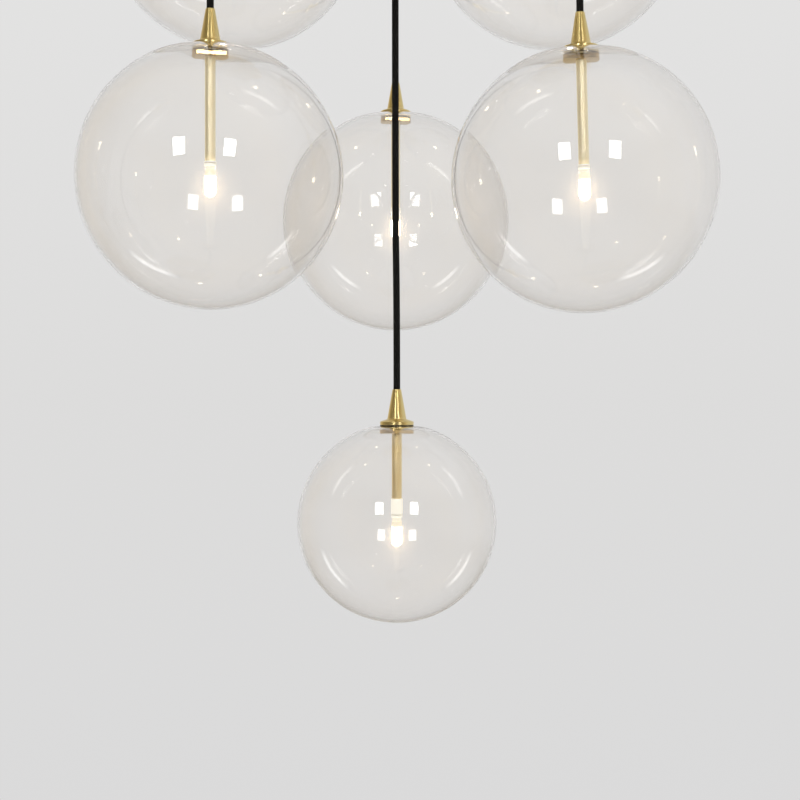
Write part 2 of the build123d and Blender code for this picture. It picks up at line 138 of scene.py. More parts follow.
# Lamp
LAMP_GAP = 0.3 * MM
LAMP_LENGTH = 29.0 * MM
LAMP_RADIUS = 5.3 * MM
LAMP_BASE_RADIUS = 4.5 * MM
LAMP_BASE_LENGTH = 3.5 * MM
# painted glow of the lamp's ceramic base, in place of the capsule's light shining through it
LAMP_BASE_PAINTED_GLOW = 0.5
WAIST_DEPTH = 0.5 * MM
WAIST_TOP = 1.9 * MM
WAIST_BOTTOM = 2.4 * MM
WAIST_BEVEL = 0.3 * MM
LAMP_NECK_RADIUS = 4.2 * MM
LAMP_NECK_BEVEL = 0.02 * MM
LAMP_SHOULDER = 0.9 * MM
DOME_SWEEP = 78.0         # degrees of the domed end, down to its tip
DOME_STEPS = 14
TIP_ROOT_RADIUS = 0.9 * MM
TIP_RADIUS = 0.5 * MM
TIP_LENGTH = 0.06 * MM
NECK_LIGHT = 0.5
CORE_LIGHT = 26.0
CORE_START = 0.32         # where the bright core begins, as a share of the lamp's length
CORE_FADE = 0.12          # and the share over which it comes up
PIN_SPACING = 4.0 * MM
PIN_RADIUS = 0.35 * MM
PIN_LENGTH = 7.0 * MM
PIN_IN_BASE = 0.4 * MM

# Cord grips, with the heights below the ceiling
CANOPY_HEIGHT = 46.0 * MM
GRIP_LENGTH = 18.0 * MM
GRIP_FLANGE_RADIUS = 9.0 * MM
GRIP_FLANGE = 2.0 * MM
GRIP_TOP_RADIUS = 6.8 * MM
GRIP_BOTTOM_RADIUS = 5.8 * MM
GRIP_MOUTH_RADIUS = 4.6 * MM
GRIP_MOUTH_DEPTH = 4.0 * MM
GRIP_STUD_RADIUS = 5.0 * MM
GRIP_STUD_TOP = 35.0 * MM
GRIP_BORE = 2.0 * MM
GRIP_GROOVE_DROP = 3.0 * MM
GRIP_GROOVE_WIDTH = 0.8 * MM
GRIP_GROOVE_DEPTH = 0.5 * MM

# Studio, as the reflections in the globes place it
CAMERA_AT = (0.005, -1.487, -1.1)
CAMERA_LENS = 66.47
SENSOR = 36.0
WALL_LOW = (0.705, 0.703, 0.704)
WALL_GREY = (0.722, 0.718, 0.714)
WALL_HIGH = (0.765, 0.762, 0.758)
WALL_TONES = ((0.37, WALL_LOW), (0.5, WALL_GREY), (0.63, WALL_HIGH))
ROOM_TONES = (
    (0.0, (0.22, 0.19, 0.14)),
    (0.25, (0.30, 0.26, 0.19)),
    (0.52, (0.62, 0.52, 0.37)),
    (0.8, WALL_GREY),
)
ROOM_LOW_DOWN = ((0.33, (0.76, 0.73, 0.68)), (0.42, (1.0, 1.0, 1.0)))
ROOM_TO_RIGHT = 0.3
ROOM_UPWARD = 0.1
# painted light: how much brighter the wall is shown through glass than directly
GLASS_PAINTED_BRIGHTENING = (1.085, 1.09, 1.095)
AMBIENT = 0.75
FLOOR_DROP = 3.2
FLOOR_RADIUS = 8.0
FLOOR_FADE = (0.2, 0.65)  # shares of the radius between which the floor thins out
LIGHT_TINT = (1.0, 0.985, 0.96)
SOFTBOX_SIZE = (0.65, 0.96)
SOFTBOX_AT = (1.35, -3.6, 0.17)
SOFTBOX_EVEN = 0.97
SOFTBOX_GLARE = 15.5
SOFTBOX_POWER = 21.0
STRIP_SIZE = (0.7, 0.09)
STRIP_AT = (0.82, 0.15, -1.84)
STRIP_EVEN = 0.4
STRIP_GLARE = 2.8
AIM = Vector((0.0, 0.0, -1.0))


# Node helpers


def new_material(name):
    material = bpy.data.materials.new(name)
    material.use_nodes = True
    tree = material.node_tree
    return material, tree, tree.nodes["Principled BSDF"]


def add_node(tree, kind, values=None, **settings):
    made = tree.nodes.new(kind)
    for key, value in settings.items():
        setattr(made, key, value)
    for key, value in (values or {}).items():
        made.inputs[key].default_value = value
    return made


def math_node(tree, operation, first, second=None):
    """A Math node on sockets or numbers, as its output socket."""
    made = add_node(tree, "ShaderNodeMath", operation=operation)
    for slot, value in enumerate((first, second)):
        if value is None:
            continue
        if isinstance(value, (int, float)):
            made.inputs[slot].default_value = value
        else:
            tree.links.new(value, made.inputs[slot])
    return made.outputs[0]


def set_values(shader, values):
    for key, value in values.items():
        shader.inputs[key].default_value = value


def noise(tree, scale, detail=3.0, stretch=(1.0, 1.0, 1.0)):
    """Noise in the object's own coordinates, in cycles a metre."""
    coordinates = add_node(tree, "ShaderNodeTexCoord")
    mapping = add_node(tree, "ShaderNodeMapping", {"Scale": stretch})
    texture = add_node(tree, "ShaderNodeTexNoise", {"Scale": scale, "Detail": detail})
    tree.links.new(coordinates.outputs["Object"], mapping.inputs["Vector"])
    tree.links.new(mapping.outputs["Vector"], texture.inputs["Vector"])
    return texture.outputs["Fac"]


def ramp(tree, factor, *stops):
    """A colour ramp from (position, colour) stops."""
    made = add_node(tree, "ShaderNodeValToRGB")
    elements = made.color_ramp.elements
    while len(elements) < len(stops):
        elements.new(0.5)
    for element, (position, colour) in zip(elements, stops):
        element.position = position
        element.color = (*colour, 1.0)
    tree.links.new(factor, made.inputs["Fac"])
    return made.outputs["Color"]


def spread(tree, factor, low, high):
    """Maps 0..1 to low..high."""
    made = add_node(tree, "ShaderNodeMapRange", {"To Min": low, "To Max": high})
    tree.links.new(factor, made.inputs["Value"])
    return made.outputs["Result"]


def bump(tree, shader, height, strength, distance):
    made = add_node(tree, "ShaderNodeBump", {"Strength": strength, "Distance": distance})
    tree.links.new(height, made.inputs["Height"])
    tree.links.new(made.outputs["Normal"], shader.inputs["Normal"])


# Materials

WAVE_RADIANS = 20.0       # that a wave texture of scale 1 runs through in a metre


def rings(tree, pitch, about_axis):
    """Fine tool marks, 2 pi pitches wide: bands along the axis, or rings about it on a flat face."""
    coordinates = add_node(tree, "ShaderNodeTexCoord")
    wave = add_node(
        tree,
        "ShaderNodeTexWave",
        {"Scale": 1.0 / pitch / WAVE_RADIANS, "Distortion": 1.5, "Detail": 2.0, "Detail Scale": 1.5},
        wave_type="RINGS" if about_axis else "BANDS",
    )
    if about_axis:
        wave.rings_direction = "Z"
    else:
        wave.bands_direction = "Z"
    tree.links.new(coordinates.outputs["Object"], wave.inputs["Vector"])
    return wave.outputs["Fac"]


def brass(name, tones, roughness, mark_pitch, mark_depth, about_axis=False, anisotropy=0.0, painted_lamp_glow=0.0):
    """Machined brass: tool marks, slow changes of tone and a little uneven polish. Its emission is
    painted light: an even glow that stands in for the light of a hot lamp beside it."""
    material, tree, shader = new_material(name)
    set_values(shader, {
        "Metallic": 1.0,
        "Anisotropic": anisotropy,
        "Anisotropic Rotation": 0.25,
        # painted light: an even emission in the brass's own tone
        "Emission Color": (*tones[0], 1.0),
        "Emission Strength": painted_lamp_glow,
    })
    patches = noise(tree, 45.0, detail=4.0)
    tone = ramp(tree, patches, (0.3, tones[0]), (0.7, tones[1]))
    tree.links.new(tone, shader.inputs["Base Color"])
    smears = noise(tree, 220.0, detail=5.0, stretch=(1.0, 1.0, 3.0))
    tree.links.new(spread(tree, smears, roughness[0], roughness[1]), shader.inputs["Roughness"])
    bump(tree, shader, rings(tree, mark_pitch, about_axis), 0.35, mark_depth)
    if anisotropy:
        tangent = add_node(tree, "ShaderNodeTangent", direction_type="RADIAL", axis="Z")
        tree.links.new(tangent.outputs["Tangent"], shader.inputs["Tangent"])
    return material


def clear_glass():
    """Mouth-blown glass: clear, faintly warm in depth, very slightly uneven. A thin film of haze on
    it spreads a little light, which puts the soft glow about the hot lamps."""
    material, tree, shader = new_material("clear_blown_glass")
    set_values(shader, {"Transmission Weight": 1.0, "Roughness": 0.0, "IOR": GLASS_IOR})
    # Painted shade: the glass is tinted darker where it is seen edge-on, along each globe's outline.
    edge = add_node(tree, "ShaderNodeLayerWeight", {"Blend": 0.5})
    painted_edge_shade = ramp(tree, edge.outputs["Facing"], (0.88, (1.0, 1.0, 1.0)), (0.98, (0.84, 0.83, 0.80)))
    tree.links.new(painted_edge_shade, shader.inputs["Base Color"])
    bump(tree, shader, noise(tree, 14.0, detail=1.0), 0.04, 2.0 * MM)
    rays = add_node(tree, "ShaderNodeLightPath").outputs
    matt_light = math_node(tree, "MAXIMUM", rays["Is Shadow Ray"], rays["Is Diffuse Ray"])
    through = add_node(tree, "ShaderNodeBsdfTransparent", {"Color": (0.95, 0.95, 0.95, 1.0)})
    mix = add_node(tree, "ShaderNodeMixShader")
    output = tree.nodes["Material Output"]
    film = add_node(
        tree,
        "ShaderNodeBsdfRefraction",
        {"Color": (1.0, 0.84, 0.64, 1.0), "Roughness": 0.42, "IOR": GLASS_IOR},
    )
    hazy = add_node(tree, "ShaderNodeMixShader", {"Fac": GLASS_HAZE})
    tree.links.new(shader.outputs["BSDF"], hazy.inputs[1])
    tree.links.new(film.outputs["BSDF"], hazy.inputs[2])
    tree.links.new(matt_light, mix.inputs["Fac"])
    tree.links.new(hazy.outputs["Shader"], mix.inputs[1])
    tree.links.new(through.outputs["BSDF"], mix.inputs[2])
    tree.links.new(mix.outputs["Shader"], output.inputs["Surface"])
    depth = add_node(
        tree, "ShaderNodeVolumeAbsorption", {"Color": (0.62, 0.52, 0.48, 1.0), "Density": 5.0}
    )
    tree.links.new(depth.outputs["Volume"], output.inputs["Volume"])
    return material


def textile():
    """Black braid: two families of threads that pass over and under each other."""
    carriers = 12.0
    pitch = 2.6 * MM
    material, tree, shader = new_material("black_braid")
    set_values(shader, {
        "Roughness": 0.78,
        "Specular IOR Level": 0.2,
        "Sheen Weight": 0.05,
        "Sheen Roughness": 0.5,
    })
    uv = add_node(tree, "ShaderNodeUVMap", uv_map="UVMap")
    split = add_node(tree, "ShaderNodeSeparateXYZ")
    tree.links.new(uv.outputs["UV"], split.inputs["Vector"])
    around = math_node(tree, "MULTIPLY", split.outputs["X"], carriers)
    along = math_node(tree, "MULTIPLY", split.outputs["Y"], 1.0 / pitch)
    right = math_node(tree, "ADD", around, along)
    left = math_node(tree, "SUBTRACT", around, along)
    crests = []
    for direction in (right, left):
        position = math_node(tree, "FRACT", direction)
        crests.append(math_node(tree, "SINE", math_node(tree, "MULTIPLY", position, math.pi)))
    columns, rows = math_node(tree, "FLOOR", right), math_node(tree, "FLOOR", left)
    cells = math_node(tree, "ADD", columns, rows)
    over = math_node(tree, "FLOORED_MODULO", cells, 2.0)
    under = math_node(tree, "SUBTRACT", 1.0, over)
    height = math_node(
        tree,
        "ADD",
        math_node(tree, "MULTIPLY", crests[0], over),
        math_node(tree, "MULTIPLY", crests[1], under),
    )
    fuzz = noise(tree, 2600.0, detail=3.0)
    crests_and_fuzz = math_node(
        tree,
        "ADD",
        math_node(tree, "MULTIPLY", height, 0.7),
        math_node(tree, "MULTIPLY", fuzz, 0.3),
    )
    # The tone follows it: darker in the dips between the threads and lighter on their crests, which is
    # painted shade and painted highlight, with random fuzz.
    tone = ramp(tree, crests_and_fuzz, (0.15, (0.001, 0.001, 0.001)), (0.85, (0.009, 0.0085, 0.008)))
    tree.links.new(tone, shader.inputs["Base Color"])
    bump(tree, shader, crests_and_fuzz, 0.9, 0.25 * MM)
    return material


def height_of(tree):
    """The height of a point in its piece's own coordinates."""
    coordinates = add_node(tree, "ShaderNodeTexCoord")
    split = add_node(tree, "ShaderNodeSeparateXYZ")
    tree.links.new(coordinates.outputs["Object"], split.inputs["Vector"])
    return split.outputs["Z"]


def ceramic(name, tones, glow):
    """Dull-glazed ceramic, fine in grain, whose emission is a painted glow that stands in for the hot
    lamp's light shining through it.
    """
    material, tree, shader = new_material(name)
    set_values(shader, {
        "Roughness": 0.42,
        "Coat Weight": 0.15,
        "Coat Roughness": 0.25,
        "Emission Color": (1.0, 0.94, 0.78, 1.0),
        "Emission Strength": glow,
    })
    grain = noise(tree, 900.0, detail=4.0)
    tone = ramp(tree, grain, (0.25, tones[0]), (0.75, tones[1]))
    tree.links.new(tone, shader.inputs["Base Color"])
    bump(tree, shader, grain, 0.15, 0.05 * MM)
    return material


def steatite():
    """The lampholder's ceramic: a painted glow, a little stronger away from the lamp and left off at
    the joint round it, so that the joint reads as a dark line of painted shade.
    """
    material = ceramic("steatite", ((0.80, 0.775, 0.70), (0.88, 0.865, 0.81)), 0.0)
    tree = material.node_tree
    shader = tree.nodes["Principled BSDF"]
    height = height_of(tree)
    low, high = HOLDER_PAINTED_GLOW
    light = add_node(
        tree, "ShaderNodeMapRange", {"From Max": HOLDER_PAINTED_GLOW_HEIGHT, "To Min": low, "To Max": high}
    )
    tree.links.new(height, light.inputs["Value"])
    at_joint = math_node(tree, "COMPARE", height, HOLDER_JOINT)
    at_joint.node.inputs[2].default_value = JOINT_WIDTH / 2
    # painted glow, left off at the joint, which gives painted shade there
    shown = math_node(tree, "MULTIPLY", light.outputs["Result"], spread(tree, at_joint, 1.0, 0.0))
    tree.links.new(shown, shader.inputs["Emission Strength"])
    return material


def glowing_envelope():
    """The lit capsule: brightest over its lower two thirds, warmer and dimmer towards the base."""
    material, tree, shader = new_material("lit_capsule")
    set_values(shader, {"Base Color": (0.80, 0.76, 0.62, 1.0), "Roughness": 0.25})
    down = math_node(tree, "MULTIPLY", height_of(tree), -1.0 / LAMP_LENGTH)
    tones = ((0.1, (1.0, 0.90, 0.70)), (0.4, (1.0, 0.90, 0.74)), (0.85, (1.0, 0.86, 0.66)))
    tree.links.new(ramp(tree, down, *tones), shader.inputs["Emission Color"])
    glow = add_node(
        tree,
        "ShaderNodeMapRange",
        {
            "From Min": CORE_START,
            "From Max": CORE_START + CORE_FADE,
            "To Min": NECK_LIGHT,
            "To Max": CORE_LIGHT,
        },
    )
    tree.links.new(down, glow.inputs["Value"])
    tree.links.new(glow.outputs["Result"], shader.inputs["Emission Strength"])
    return material


def plain(name, tones, roughness, grain_scale, metallic=0.0, grain_depth=0.02 * MM):
    """Moulded plastic, rubber or plated steel: fine grain in tone and surface."""
    material, tree, shader = new_material(name)
    set_values(shader, {"Roughness": roughness, "Metallic": metallic})
    grain = noise(tree, grain_scale, detail=4.0)
    tone = ramp(tree, grain, (0.3, tones[0]), (0.7, tones[1]))
    tree.links.new(tone, shader.inputs["Base Color"])
    bump(tree, shader, grain, 0.3, grain_depth)
    return material


MATERIALS = {
    "cap": brass(
        "turned_brass", ((0.76, 0.62, 0.27), (0.83, 0.68, 0.33)), (0.29, 0.36), 0.35 * MM, 0.02 * MM,
        anisotropy=0.88,
    ),
    # The block's brass is a darker copy of the cap's: painted shade for the block under the glass.
    "block": brass(
        "shaded_satin_brass", ((0.60, 0.42, 0.18), (0.68, 0.50, 0.24)), (0.14, 0.2), 0.5 * MM, 0.003 * MM,
    ),
    # The stems' brass comes in lit and shaded copies. This very pale tone, with more painted glow, is
    # for the stems that catch the softboxes: painted highlight.
    "stem": brass(
        "lit_copy_tube_brass", ((0.98, 0.90, 0.66), (1.0, 0.94, 0.74)), (0.45, 0.51), 0.9 * MM, 0.004 * MM,
        anisotropy=0.5, painted_lamp_glow=0.16,
    ),
    # The darker, warmer copy, with less painted glow, is for the lowest stem, which catches less of
    # the softboxes: painted shade.
    "shaded_copy_stem": brass(
        "shaded_copy_tube_brass", ((0.94, 0.77, 0.44), (0.98, 0.84, 0.53)), (0.42, 0.48), 0.9 * MM,
        0.004 * MM, painted_lamp_glow=0.06,
    ),
    "canopy": brass(
        "spun_brass", ((0.75, 0.61, 0.29), (0.81, 0.67, 0.35)), (0.24, 0.34), 1.4 * MM, 0.03 * MM,
        about_axis=True,
    ),
    "glass": clear_glass(),
    "cord": textile(),
    "ceramic": steatite(),
    "lamp_base": ceramic(
        "capsule_base", ((0.76, 0.72, 0.60), (0.84, 0.81, 0.70)), LAMP_BASE_PAINTED_GLOW
    ),
    "lamp": glowing_envelope(),
    "zinc": plain("zinc_plate", ((0.58, 0.60, 0.62), (0.70, 0.72, 0.73)), 0.34, 260.0, metallic=1.0),
    "nut": plain("plated_nut", ((0.55, 0.56, 0.58), (0.66, 0.67, 0.68)), 0.28, 500.0, metallic=1.0),
    "supply": plain("white_polycarbonate", ((0.79, 0.79, 0.77), (0.83, 0.83, 0.81)), 0.45, 1500.0),
    "terminal": plain("polyamide", ((0.76, 0.75, 0.70), (0.81, 0.80, 0.75)), 0.5, 1300.0),
    "seal": plain("black_rubber", ((0.012, 0.012, 0.012), (0.022, 0.022, 0.022)), 0.6, 1800.0),
    "lead_black": plain("black_jacket", ((0.02, 0.02, 0.02), (0.034, 0.034, 0.034)), 0.5, 900.0),
    "lead_white": plain("white_jacket", ((0.72, 0.72, 0.70), (0.77, 0.77, 0.75)), 0.5, 900.0),
    "pin": plain("tinned_wire", ((0.66, 0.66, 0.65), (0.74, 0.74, 0.73)), 0.25, 900.0, metallic=1.0),
}
DRESSED = {
    "canopy_cover": "canopy",
    "ceiling_bracket": "zinc",
    "cover_screws": "cap",
    "grip_nuts": "nut",
    "power_supply": "supply",
    "power_supply_screws": "nut",
    "mains_terminals": "terminal",
    "lamp_terminals": "terminal",
    "lamp_leads": "lead_black",
    "supply_leads": "lead_white",
}


# Mesh helpers


def arc(centre, radius, start, end, steps):
    """Points of an arc as (radius, height), angles in degrees."""
    degrees = [start + (end - start) * step / steps for step in range(steps + 1)]
    return [
        (centre[0] + radius * math.cos(angle), centre[1] + radius * math.sin(angle))
        for angle in map(math.radians, degrees)
    ]


def rounded(corners, steps=4, closed=True):
    """An outline from (radius, height, rounding) corners, each rounded by its own arc."""
    count = len(corners)
    outline = []
    for index, (r, z, rounding) in enumerate(corners):
        at_end = not closed and index in (0, count - 1)
        if at_end or rounding == 0:
            outline.append((r, z))
            continue
        here = Vector((r, z))
        before = (Vector(corners[index - 1][:2]) - here).normalized()
        after = (Vector(corners[(index + 1) % count][:2]) - here).normalized()
        half = before.angle(after) / 2
        inward = (before + after).normalized()
        centre = here + inward * rounding / math.sin(half)
        first = here + before * rounding / math.tan(half) - centre
        turn = first.angle_signed(here + after * rounding / math.tan(half) - centre)
        start = math.atan2(first.y, first.x)
        for step in range(steps + 1):
            angle = start - turn * step / steps
            x = centre.x + rounding * math.cos(angle)
            y = centre.y + rounding * math.sin(angle)
            outline.append((x, y))
    return outline


def make_piece(name, bm, material, sharp):
    """The smooth object of a bmesh, whose edges are sharp from an angle in degrees."""
    mesh = bpy.data.meshes.new(name)
    bmesh.ops.recalc_face_normals(bm, faces=bm.faces)
    bm.to_mesh(mesh)
    bm.free()
    mesh.materials.append(material)
    mesh.polygons.foreach_set("use_smooth", [True] * len(mesh.polygons))
    mesh.set_sharp_from_angle(angle=math.radians(sharp))
    made = bpy.data.objects.new(name, mesh)
    bpy.context.scene.collection.objects.link(made)
    return made


def lathe(name, outline, material, closed=True, segments=64, shape=None, sharp=35.0, angles=None):
    """A turned piece about its own Z. shape(radius, angle) may pull points in at some angles."""
    bm = bmesh.new()
    angles = angles or [2 * math.pi * step / segments for step in range(segments)]
    columns = []
    for radius, height in outline:
        if radius < TINY:
            pole = bm.verts.new((0.0, 0.0, height))
            columns.append([pole] * len(angles))
            continue
        ring = []
        for angle in angles:
            reach = shape(radius, angle) if shape else radius
            ring.append(bm.verts.new((reach * math.cos(angle), reach * math.sin(angle), height)))
        columns.append(ring)
    pairs = list(zip(columns, columns[1:]))
    if closed:
        pairs.append((columns[-1], columns[0]))
    for lower, upper in pairs:
        for index in range(len(angles)):
            beside = (index + 1) % len(angles)
            corners = [lower[index], lower[beside], upper[beside], upper[index]]
            distinct = list(dict.fromkeys(corners))
            if len(distinct) > 2:
                bm.faces.new(distinct)
    return make_piece(name, bm, material, sharp)


def place(piece, where, body, replaced=()):
    piece.matrix_world = where
    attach(piece, body)
    if replaced:
        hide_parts(*replaced)


# Cords


def route_line(name, points):
    """The smooth line through a cord's route, as points read from its curve."""
    curve = bpy.data.curves.new(name, "CURVE")
    curve.dimensions = "3D"
    curve.resolution_u = 24
    spline = curve.splines.new("NURBS")
    spline.points.add(len(points) - 1)
    for spot, point in zip(spline.points, points):
        spot.co = (*point, 1.0)
    spline.order_u = 3
    spline.use_endpoint_u = True
    holder = bpy.data.objects.new(name, curve)
    line = bpy.data.meshes.new_from_object(holder)
    spots = [vertex.co.copy() for vertex in line.vertices]
    bpy.data.objects.remove(holder)
    bpy.data.meshes.remove(line)
    bpy.data.curves.remove(curve)
    return spots


def cord(name, pendant):
    """A braided cord: a round tube along its route, closed at both ends."""
    sides = 32
    spots = route_line(f"route_{name}", pendant.route)
    bm = bmesh.new()
    layer = bm.loops.layers.uv.new("UVMap")
    loops = []
    travelled = 0.0
    for index, spot in enumerate(spots):
        ahead = spots[min(index + 1, len(spots) - 1)]
        behind = spots[max(index - 1, 0)]
        turn = Vector((0, 0, -1)).rotation_difference(ahead - behind)
        if index:
            travelled += (spot - behind).length
        ring = []
        for side in range(sides):
            angle = 2 * math.pi * side / sides
            offset = Vector((math.cos(angle), math.sin(angle), 0.0)) * CORD_DIAMETER / 2
            ring.append(bm.verts.new(spot + turn @ offset))
        loops.append((ring, travelled))
    for (upper, high), (lower, low) in zip(loops, loops[1:]):
        for side in range(sides):
            beside = (side + 1) % sides
            face = bm.faces.new((upper[side], upper[beside], lower[beside], lower[side]))
            places = ((side, high), (side + 1, high), (side + 1, low), (side, low))
            for loop, (step, height) in zip(face.loops, places):
                loop[layer].uv = (step / sides, height)
    for ring, _ in (loops[0], loops[-1]):
        bm.faces.new(ring)
    piece = make_piece(f"textile_cord_{name}", bm, MATERIALS["cord"], sharp=40.0)
    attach(piece, f"pendant_{name}")
    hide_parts(f"cord_{name}")


# Pieces of one pendant, each drawn with the cap's foot at height 0


def turned_cap(name):
    return lathe(f"turned_cap_{name}", rounded([
        (STEM_RADIUS, 0.0, 0.0),
        (FOOT_RADIUS, 0.0, 0.35 * MM),
        (FOOT_RADIUS, FOOT_RIM_HEIGHT, 0.45 * MM),
        (FOOT_EDGE_RADIUS, FOOT_EDGE_HEIGHT, 0.5 * MM),
        (CONE_BASE_RADIUS, CONE_BASE_HEIGHT, CONE_FILLET),
        (CAP_TOP_RADIUS, CAP_HEIGHT, 0.25 * MM),
        (CORD_SEAT_RADIUS, CAP_HEIGHT, 0.15 * MM),
        (CORD_SEAT_RADIUS, CAP_HEIGHT - CORD_SEAT_DEPTH, 0.0),
        (WIRE_BORE_RADIUS, CAP_HEIGHT - CORD_SEAT_DEPTH, 0.0),
        (WIRE_BORE_RADIUS, CHAMBER_TOP, 0.0),
        (CHAMBER_RADIUS, CHAMBER_TOP, 0.0),
        (CHAMBER_RADIUS, CHAMBER_FLOOR, 0.0),
        (STEM_RADIUS, CHAMBER_FLOOR, 0.0),
    ], steps=6), MATERIALS["cap"], segments=96, sharp=50.0)


def neck_seal(name):
    top = -SEAL_CLEARANCE
    bottom = SEAL_CLEARANCE - SEAL_THICKNESS
    return lathe(f"neck_seal_{name}", rounded([
        (SEAL_INNER_RADIUS, top, 0.3 * MM),
        (SEAL_INNER_RADIUS, bottom, 0.3 * MM),
        (SEAL_OUTER_RADIUS, bottom, 0.4 * MM),
        (SEAL_OUTER_RADIUS, top, 0.4 * MM),
    ]), MATERIALS["seal"], segments=96)


def blown_glass(name, globe):
    """The globe: a sphere drawn in to a level flat with a round-edged hole, in one smooth wall."""
    radius = globe.radius
    blend = math.degrees(2 * math.atan(globe.pole_drop / FLAT_RADIUS))
    shoulder = radius - FLAT_RADIUS / math.sin(math.radians(blend))
    crown = radius - globe.pole_drop
    inner = radius - GLASS_WALL
    bend = (FLAT_RADIUS, crown - shoulder)
    rim = NECK_RADIUS + GLASS_WALL / 2
    middle = crown - GLASS_WALL / 2
    outline = arc((0, 0), radius, -90, 90 - blend, SPHERE_STEPS)
    outline += arc(bend, shoulder, 90 - blend, 90, BEND_STEPS)[1:]
    outline += arc((rim, middle), GLASS_WALL / 2, 90, 270, RIM_STEPS)
    outline += arc(bend, shoulder - GLASS_WALL, 90, 90 - blend, BEND_STEPS)
    outline += arc((0, 0), inner, 90 - blend, -90, SPHERE_STEPS)[1:]
    outline[0] = (0.0, -radius)
    outline[-1] = (0.0, -inner)
    lowered = [(r, z - SEAL_THICKNESS - crown) for r, z in outline]
    return lathe(
        f"blown_glass_{name}",
        lowered,
        MATERIALS["glass"],
        closed=False,
        segments=GLASS_STEPS,
        sharp=80.0,
    )


def clamp_block(name):
    """The oblong block under the glass: a round plate with two sides cut away."""
    corner = math.asin(BLOCK_HALF_WIDTH / BLOCK_RADIUS)
    angles = []
    for low, high in ((-corner, corner), (corner, math.pi - corner)):
        angles += [low + (high - low) * step / BLOCK_STEPS for step in range(BLOCK_STEPS)]
    angles += [angle + math.pi for angle in angles]

    def cut(radius, angle):
        if radius <= STEM_RADIUS:
            return radius
        width = BLOCK_HALF_WIDTH - (BLOCK_RADIUS - radius)
        return min(radius, width / max(abs(math.sin(angle)), TINY))

    outline = rounded([
        (STEM_RADIUS, -BLOCK_THICKNESS, 0.0),
        (BLOCK_RADIUS, -BLOCK_THICKNESS, BLOCK_EDGE),
        (BLOCK_RADIUS, 0.0, BLOCK_EDGE),
        (STEM_RADIUS, 0.0, 0.0),
    ], steps=5)
    lowered = [(r, z - BLOCK_TOP) for r, z in outline]
    return lathe(
        f"polished_block_{name}", lowered, MATERIALS["block"], shape=cut, sharp=30.0, angles=angles
    )


def stem_tube(name, globe):
    """The tube from the cap down to the lampholder. Its brass is the pale, lit copy, but the darker,
    shaded copy on the small globe: painted highlight and painted shade.
    """
    drop = globe.stem_drop
    material = MATERIALS["shaded_copy_stem" if globe is SMALL else "stem"]
    return lathe(f"stem_tube_{name}", rounded([
        (STEM_BORE, -drop, 0.2 * MM),
        (STEM_RADIUS, -drop, 0.3 * MM),
        (STEM_RADIUS, STEM_IN_CAP, 0.2 * MM),
        (STEM_BORE, STEM_IN_CAP, 0.2 * MM),
    ]), material, segments=64)


def steatite_holder(name, globe):
    """The lampholder, drawn with the lamp's top at height 0: a body with eased edges on its shank."""
    face = LAMP_GAP
    shoulder = LAMP_GAP + globe.holder_shown
    return lathe(f"steatite_holder_{name}", rounded([
        (0.0, face, 0.0),
        (HOLDER_RADIUS, face, 0.6 * MM),
        (HOLDER_RADIUS, HOLDER_JOINT - JOINT_WIDTH / 2, 0.1 * MM),
        (HOLDER_RADIUS - JOINT_DEPTH, HOLDER_JOINT, 0.1 * MM),
        (HOLDER_RADIUS, HOLDER_JOINT + JOINT_WIDTH / 2, 0.1 * MM),
        (HOLDER_RADIUS, shoulder, 0.25 * MM),
        (SHANK_RADIUS, shoulder, 0.0),
        (SHANK_RADIUS, shoulder + SHANK_LENGTH, 0.3 * MM),
        (0.0, shoulder + SHANK_LENGTH, 0.0),
    ], closed=False), MATERIALS["ceramic"], closed=False, segments=64)


def capsule_base(name):
    """The lamp's moulded base and its shoulder ring, with the lamp's top at height 0."""
    waist = LAMP_BASE_RADIUS - WAIST_DEPTH
    return lathe(f"capsule_base_{name}", rounded([
        (0.0, 0.0, 0.0),
        (LAMP_BASE_RADIUS, 0.0, 0.35 * MM),
        (LAMP_BASE_RADIUS, WAIST_BEVEL - WAIST_TOP, 0.2 * MM),
        (waist, -WAIST_TOP, 0.15 * MM),
        (waist, -WAIST_BOTTOM, 0.15 * MM),
        (LAMP_BASE_RADIUS, -WAIST_BOTTOM - WAIST_BEVEL, 0.2 * MM),
        (LAMP_BASE_RADIUS, -LAMP_BASE_LENGTH, 0.2 * MM),
        (0.0, -LAMP_BASE_LENGTH, 0.0),
    ], closed=False), MATERIALS["lamp_base"], closed=False, segments=48)


def capsule_envelope(name):
    """The glowing envelope: a shoulder, a barrel and a domed end with a small sealing tip."""
    neck = -LAMP_BASE_LENGTH
    dome = -LAMP_LENGTH + LAMP_RADIUS
    outline = rounded([
        (0.0, neck, 0.0),
        (LAMP_NECK_RADIUS, neck - LAMP_NECK_BEVEL, 0.2 * MM),
        (LAMP_RADIUS, neck - LAMP_SHOULDER, 0.5 * MM),
        (LAMP_RADIUS, dome, 0.0),
    ], closed=False)
    outline += arc((0, dome), LAMP_RADIUS, 0, -DOME_SWEEP, DOME_STEPS)[1:]
    outline += [
        (TIP_ROOT_RADIUS, TIP_LENGTH - LAMP_LENGTH),
        (TIP_RADIUS, -LAMP_LENGTH),
        (0.0, -LAMP_LENGTH),
    ]
    return lathe(
        f"capsule_envelope_{name}", outline, MATERIALS["lamp"], closed=False, segments=48, sharp=60.0
    )


